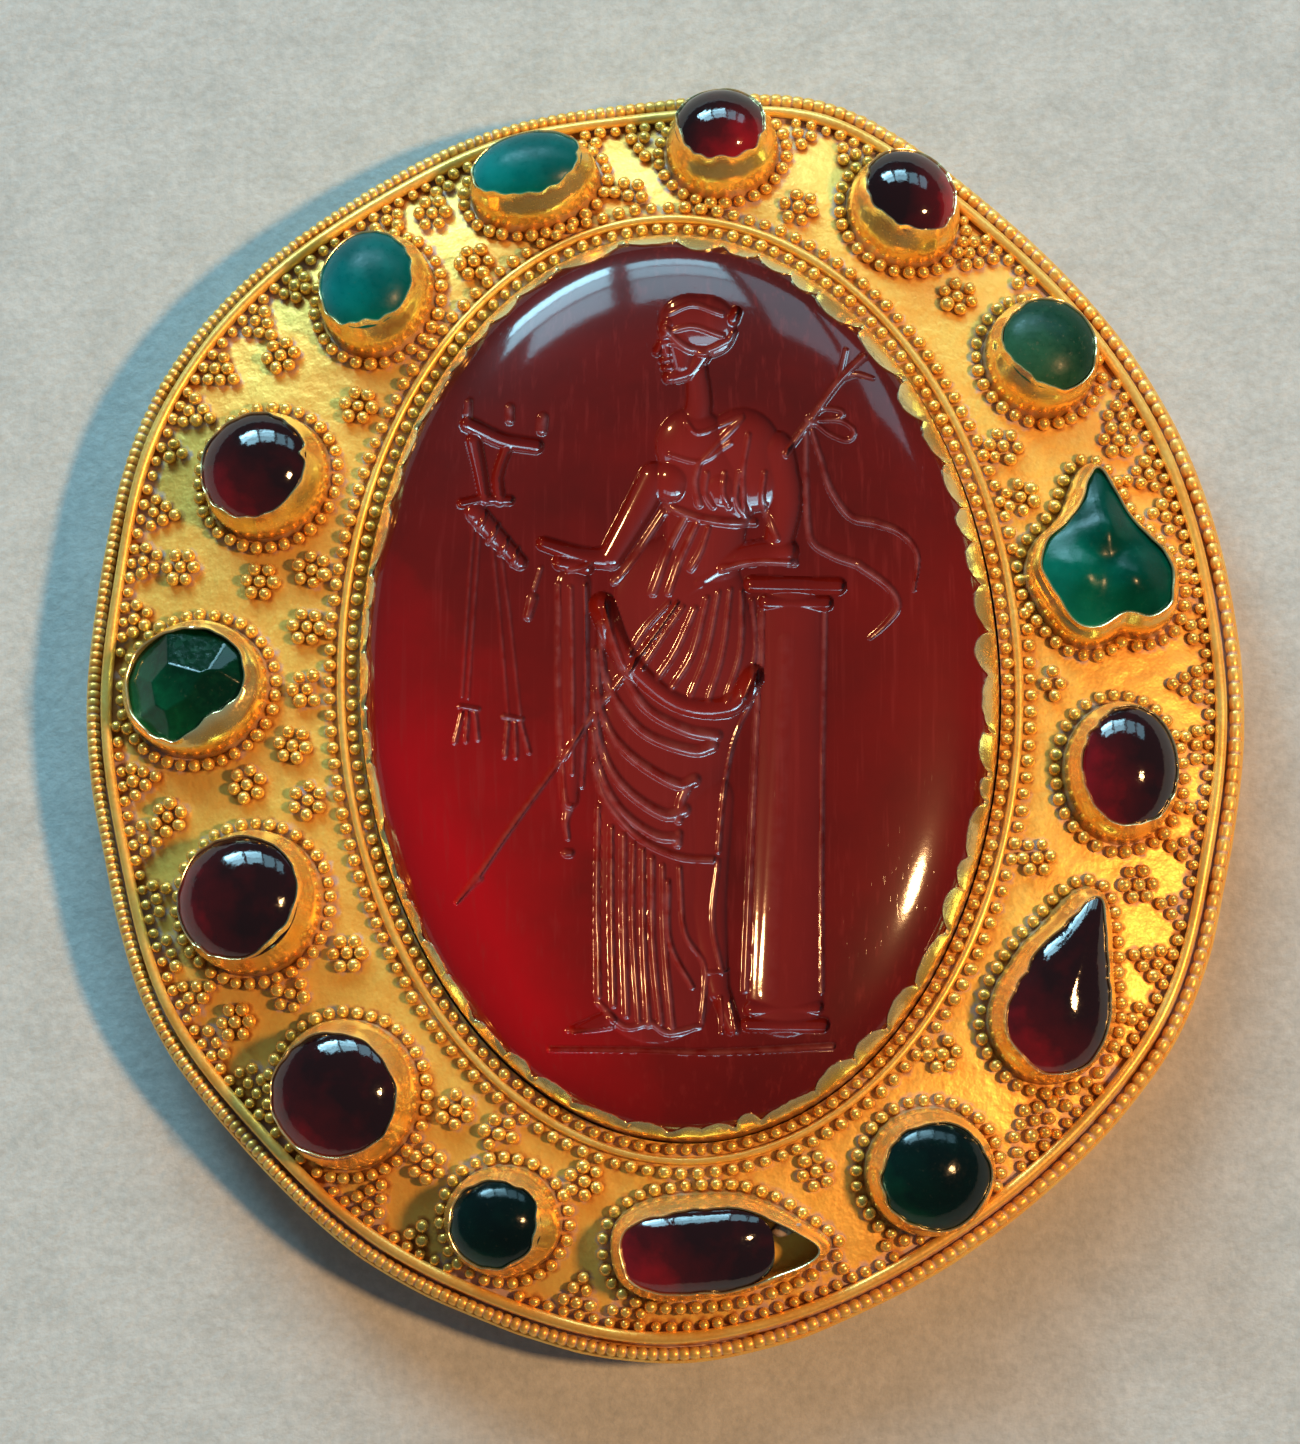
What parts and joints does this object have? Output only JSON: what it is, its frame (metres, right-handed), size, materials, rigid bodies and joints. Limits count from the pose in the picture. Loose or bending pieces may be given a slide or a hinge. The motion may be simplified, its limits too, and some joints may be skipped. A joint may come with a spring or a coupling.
{
  "type": "gem-set gold brooch",
  "caption": "Domed oval gold brooch with an engraved red gem in a dog-tooth bezel, ringed by small stones in collets and fine granulation.",
  "frame": {"origin": "middle of the flat back, at the centre of the outline's box", "axes": "+Z out of the face, +Y towards the head of the engraved figure, +X to the viewer's right"},
  "size_m": [0.053, 0.059, 0.0104],
  "materials": {
    "gold": "satin",
    "red_gem": "polished",
    "garnet": "polished",
    "green_glass": "satin",
    "emerald": "gloss",
    "mastic": "matte"
  },
  "bodies": {
    "root": {"back_plate": "gold", "side_wall": "gold", "rim_flange": "gold", "beaded_wire": "gold", "rim_wire": "gold", "face_plate": "gold", "gem_bezel": "gold", "bezel_wire": "gold", "bezel_granules": "gold", "mastic_core": "mastic", "intaglio_gem": "red_gem", "collet_01": "gold", "stone_01": "green_glass", "granule_ring_01": "gold", "collet_02": "gold", "stone_02": "garnet", "granule_ring_02": "gold", "collet_03": "gold", "stone_03": "garnet", "granule_ring_03": "gold", "collet_04": "gold", "stone_04": "green_glass", "granule_ring_04": "gold", "collet_05": "gold", "stone_05": "green_glass", "granule_ring_05": "gold", "collet_06": "gold", "stone_06": "garnet", "granule_ring_06": "gold", "collet_07": "gold", "stone_07": "garnet", "granule_ring_07": "gold", "collet_08": "gold", "stone_08": "green_glass", "granule_ring_08": "gold", "collet_09": "gold", "stone_09": "garnet", "granule_ring_09": "gold", "collet_10": "gold", "stone_10": "green_glass", "granule_ring_10": "gold", "collet_11": "gold", "stone_11": "garnet", "granule_ring_11": "gold", "collet_12": "gold", "stone_12": "garnet", "granule_ring_12": "gold", "collet_13": "gold", "stone_13": "emerald", "granule_ring_13": "gold", "collet_14": "gold", "stone_14": "garnet", "granule_ring_14": "gold", "collet_15": "gold", "stone_15": "green_glass", "granule_ring_15": "gold"}
  },
  "joints": []
}
